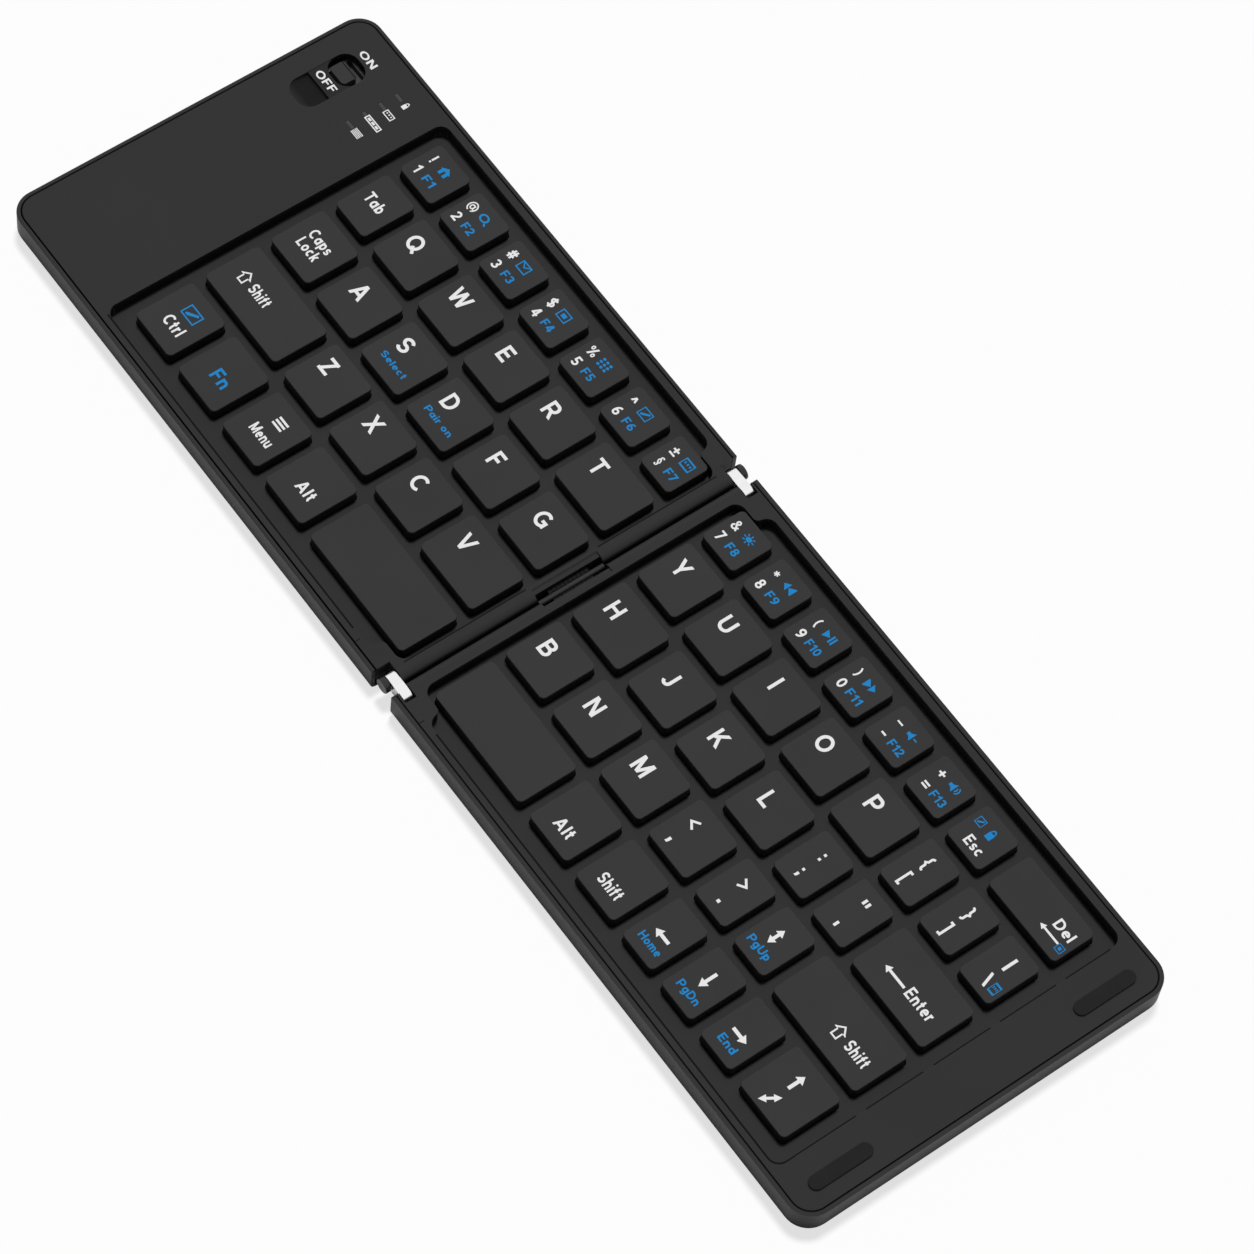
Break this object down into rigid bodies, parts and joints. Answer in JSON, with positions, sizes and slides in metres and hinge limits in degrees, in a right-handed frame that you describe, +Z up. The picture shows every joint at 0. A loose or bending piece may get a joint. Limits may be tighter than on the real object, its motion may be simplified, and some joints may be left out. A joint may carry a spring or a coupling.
{
  "type": "folding keyboard",
  "caption": "Slim black two-piece folding keyboard that lies open flat, with keys in recessed wells and a pair of bright double-pivot hinge links.",
  "frame": {"origin": "centre of the open keyboard's box, on the plane that its feet stand on", "axes": "+X along the length towards the half with the enter key, +Y away from the user towards the number row, +Z up out of the keys"},
  "size_m": [0.2776, 0.0912, 0.0082],
  "materials": {
    "shell": "fine matte",
    "cover": "fine matte",
    "keycap": "satin",
    "plate": "plain",
    "membrane": "clear film",
    "dome": "translucent silicone",
    "rubber": "matte",
    "steel": "plain",
    "link": "polished",
    "pin_cap": "satin",
    "sleeve": "matte",
    "board": "solder mask",
    "shield": "tinned",
    "led": "clear",
    "lens": "diffuse",
    "battery": "foil pouch",
    "switch_housing": "plain",
    "knob": "fine matte",
    "flex": "polyimide film"
  },
  "bodies": {
    "left_half": {"left_bottom_shell": "shell", "left_top_cover": "cover", "left_support_plate": "plate", "left_membrane": "membrane", "left_dome_sheet": "dome", "left_feet": "rubber", "left_screws": "steel", "main_board": "board", "radio_module": "shield", "indicator_leds": "led", "board_screws": "steel", "battery": "battery", "power_switch_housing": "switch_housing", "indicator_lenses": "lens", "charging_socket": "shield", "left_flex_cable": "flex", "left_hinge_pins": "steel", "hinge_pin_caps": "pin_cap"},
    "hinge_links": {"hinge_links": "link", "cable_sleeve": "sleeve"},
    "right_half": {"right_bottom_shell": "shell", "right_top_cover": "cover", "right_support_plate": "plate", "right_membrane": "membrane", "right_dome_sheet": "dome", "right_feet": "rubber", "right_screws": "steel", "right_flex_cable": "flex", "right_hinge_pins": "steel", "closing_pads": "rubber"},
    "power_switch_knob": {"power_switch_knob": "knob"},
    "left_number_keys": {"left_number_keys": "keycap"},
    "tab_key": {"tab_key": "keycap"},
    "left_upper_letter_keys": {"left_upper_letter_keys": "keycap"},
    "caps_lock_key": {"caps_lock_key": "keycap"},
    "left_home_letter_keys": {"left_home_letter_keys": "keycap"},
    "left_shift_key": {"left_shift_key": "keycap"},
    "left_lower_letter_keys": {"left_lower_letter_keys": "keycap"},
    "left_ctrl_key": {"left_ctrl_key": "keycap"},
    "fn_key": {"fn_key": "keycap"},
    "system_key": {"system_key": "keycap"},
    "left_alt_key": {"left_alt_key": "keycap"},
    "left_space_bar": {"left_space_bar": "keycap"},
    "right_number_keys": {"right_number_keys": "keycap"},
    "escape_key": {"escape_key": "keycap"},
    "delete_key": {"delete_key": "keycap"},
    "right_upper_letter_keys": {"right_upper_letter_keys": "keycap"},
    "right_home_letter_keys": {"right_home_letter_keys": "keycap"},
    "enter_key": {"enter_key": "keycap"},
    "right_lower_letter_keys": {"right_lower_letter_keys": "keycap"},
    "page_up_key": {"page_up_key": "keycap"},
    "right_shift_key": {"right_shift_key": "keycap"},
    "right_space_bar": {"right_space_bar": "keycap"},
    "right_alt_key": {"right_alt_key": "keycap"},
    "small_shift_key": {"small_shift_key": "keycap"},
    "left_arrow_key": {"left_arrow_key": "keycap"},
    "down_arrow_key": {"down_arrow_key": "keycap"},
    "right_arrow_key": {"right_arrow_key": "keycap"},
    "up_down_key": {"up_down_key": "keycap"}
  },
  "joints": [
    {"name": "right_hinge", "type": "hinge", "parent": "hinge_links", "child": "right_half", "pos_m": [0.00215, 0, 0.0058], "axis": [0, -1, 0], "range_deg": [0, 90], "deforming": ["right_flex_cable"]},
    {"name": "left_hinge", "type": "hinge", "parent": "left_half", "child": "hinge_links", "pos_m": [-0.00215, 0, 0.0058], "axis": [0, -1, 0], "range_deg": [0, 90], "deforming": ["left_flex_cable"]},
    {"name": "power_switch_slide", "type": "slide", "parent": "left_half", "child": "power_switch_knob", "axis": [0, 1, 0], "range_m": [0, 0.0016]},
    {"name": "left_number_keys_press", "type": "slide", "parent": "left_half", "child": "left_number_keys", "axis": [0, 0, -1], "range_m": [0, 0.0012], "stiffness_N_per_m": 500, "springref_m": -0.0005, "deforming": ["left_dome_sheet"]},
    {"name": "tab_key_press", "type": "slide", "parent": "left_half", "child": "tab_key", "axis": [0, 0, -1], "range_m": [0, 0.0012], "stiffness_N_per_m": 500, "springref_m": -0.0005, "deforming": ["left_dome_sheet"]},
    {"name": "left_upper_letter_keys_press", "type": "slide", "parent": "left_half", "child": "left_upper_letter_keys", "axis": [0, 0, -1], "range_m": [0, 0.0012], "stiffness_N_per_m": 500, "springref_m": -0.0005, "deforming": ["left_dome_sheet"]},
    {"name": "caps_lock_key_press", "type": "slide", "parent": "left_half", "child": "caps_lock_key", "axis": [0, 0, -1], "range_m": [0, 0.0012], "stiffness_N_per_m": 500, "springref_m": -0.0005, "deforming": ["left_dome_sheet"]},
    {"name": "left_home_letter_keys_press", "type": "slide", "parent": "left_half", "child": "left_home_letter_keys", "axis": [0, 0, -1], "range_m": [0, 0.0012], "stiffness_N_per_m": 500, "springref_m": -0.0005, "deforming": ["left_dome_sheet"]},
    {"name": "left_shift_key_press", "type": "slide", "parent": "left_half", "child": "left_shift_key", "axis": [0, 0, -1], "range_m": [0, 0.0012], "stiffness_N_per_m": 500, "springref_m": -0.0005, "deforming": ["left_dome_sheet"]},
    {"name": "left_lower_letter_keys_press", "type": "slide", "parent": "left_half", "child": "left_lower_letter_keys", "axis": [0, 0, -1], "range_m": [0, 0.0012], "stiffness_N_per_m": 500, "springref_m": -0.0005, "deforming": ["left_dome_sheet"]},
    {"name": "left_ctrl_key_press", "type": "slide", "parent": "left_half", "child": "left_ctrl_key", "axis": [0, 0, -1], "range_m": [0, 0.0012], "stiffness_N_per_m": 500, "springref_m": -0.0005, "deforming": ["left_dome_sheet"]},
    {"name": "fn_key_press", "type": "slide", "parent": "left_half", "child": "fn_key", "axis": [0, 0, -1], "range_m": [0, 0.0012], "stiffness_N_per_m": 500, "springref_m": -0.0005, "deforming": ["left_dome_sheet"]},
    {"name": "system_key_press", "type": "slide", "parent": "left_half", "child": "system_key", "axis": [0, 0, -1], "range_m": [0, 0.0012], "stiffness_N_per_m": 500, "springref_m": -0.0005, "deforming": ["left_dome_sheet"]},
    {"name": "left_alt_key_press", "type": "slide", "parent": "left_half", "child": "left_alt_key", "axis": [0, 0, -1], "range_m": [0, 0.0012], "stiffness_N_per_m": 500, "springref_m": -0.0005, "deforming": ["left_dome_sheet"]},
    {"name": "left_space_bar_press", "type": "slide", "parent": "left_half", "child": "left_space_bar", "axis": [0, 0, -1], "range_m": [0, 0.0012], "stiffness_N_per_m": 500, "springref_m": -0.0005, "deforming": ["left_dome_sheet"]},
    {"name": "right_number_keys_press", "type": "slide", "parent": "right_half", "child": "right_number_keys", "axis": [0, 0, -1], "range_m": [0, 0.0012], "stiffness_N_per_m": 500, "springref_m": -0.0005, "deforming": ["right_dome_sheet"]},
    {"name": "escape_key_press", "type": "slide", "parent": "right_half", "child": "escape_key", "axis": [0, 0, -1], "range_m": [0, 0.0012], "stiffness_N_per_m": 500, "springref_m": -0.0005, "deforming": ["right_dome_sheet"]},
    {"name": "delete_key_press", "type": "slide", "parent": "right_half", "child": "delete_key", "axis": [0, 0, -1], "range_m": [0, 0.0012], "stiffness_N_per_m": 500, "springref_m": -0.0005, "deforming": ["right_dome_sheet"]},
    {"name": "right_upper_letter_keys_press", "type": "slide", "parent": "right_half", "child": "right_upper_letter_keys", "axis": [0, 0, -1], "range_m": [0, 0.0012], "stiffness_N_per_m": 500, "springref_m": -0.0005, "deforming": ["right_dome_sheet"]},
    {"name": "right_home_letter_keys_press", "type": "slide", "parent": "right_half", "child": "right_home_letter_keys", "axis": [0, 0, -1], "range_m": [0, 0.0012], "stiffness_N_per_m": 500, "springref_m": -0.0005, "deforming": ["right_dome_sheet"]},
    {"name": "enter_key_press", "type": "slide", "parent": "right_half", "child": "enter_key", "axis": [0, 0, -1], "range_m": [0, 0.0012], "stiffness_N_per_m": 500, "springref_m": -0.0005, "deforming": ["right_dome_sheet"]},
    {"name": "right_lower_letter_keys_press", "type": "slide", "parent": "right_half", "child": "right_lower_letter_keys", "axis": [0, 0, -1], "range_m": [0, 0.0012], "stiffness_N_per_m": 500, "springref_m": -0.0005, "deforming": ["right_dome_sheet"]},
    {"name": "page_up_key_press", "type": "slide", "parent": "right_half", "child": "page_up_key", "axis": [0, 0, -1], "range_m": [0, 0.0012], "stiffness_N_per_m": 500, "springref_m": -0.0005, "deforming": ["right_dome_sheet"]},
    {"name": "right_shift_key_press", "type": "slide", "parent": "right_half", "child": "right_shift_key", "axis": [0, 0, -1], "range_m": [0, 0.0012], "stiffness_N_per_m": 500, "springref_m": -0.0005, "deforming": ["right_dome_sheet"]},
    {"name": "right_space_bar_press", "type": "slide", "parent": "right_half", "child": "right_space_bar", "axis": [0, 0, -1], "range_m": [0, 0.0012], "stiffness_N_per_m": 500, "springref_m": -0.0005, "deforming": ["right_dome_sheet"]},
    {"name": "right_alt_key_press", "type": "slide", "parent": "right_half", "child": "right_alt_key", "axis": [0, 0, -1], "range_m": [0, 0.0012], "stiffness_N_per_m": 500, "springref_m": -0.0005, "deforming": ["right_dome_sheet"]},
    {"name": "small_shift_key_press", "type": "slide", "parent": "right_half", "child": "small_shift_key", "axis": [0, 0, -1], "range_m": [0, 0.0012], "stiffness_N_per_m": 500, "springref_m": -0.0005, "deforming": ["right_dome_sheet"]},
    {"name": "left_arrow_key_press", "type": "slide", "parent": "right_half", "child": "left_arrow_key", "axis": [0, 0, -1], "range_m": [0, 0.0012], "stiffness_N_per_m": 500, "springref_m": -0.0005, "deforming": ["right_dome_sheet"]},
    {"name": "down_arrow_key_press", "type": "slide", "parent": "right_half", "child": "down_arrow_key", "axis": [0, 0, -1], "range_m": [0, 0.0012], "stiffness_N_per_m": 500, "springref_m": -0.0005, "deforming": ["right_dome_sheet"]},
    {"name": "right_arrow_key_press", "type": "slide", "parent": "right_half", "child": "right_arrow_key", "axis": [0, 0, -1], "range_m": [0, 0.0012], "stiffness_N_per_m": 500, "springref_m": -0.0005, "deforming": ["right_dome_sheet"]},
    {"name": "up_down_key_press", "type": "slide", "parent": "right_half", "child": "up_down_key", "axis": [0, 0, -1], "range_m": [0, 0.0012], "stiffness_N_per_m": 500, "springref_m": -0.0005, "deforming": ["right_dome_sheet"]}
  ]
}
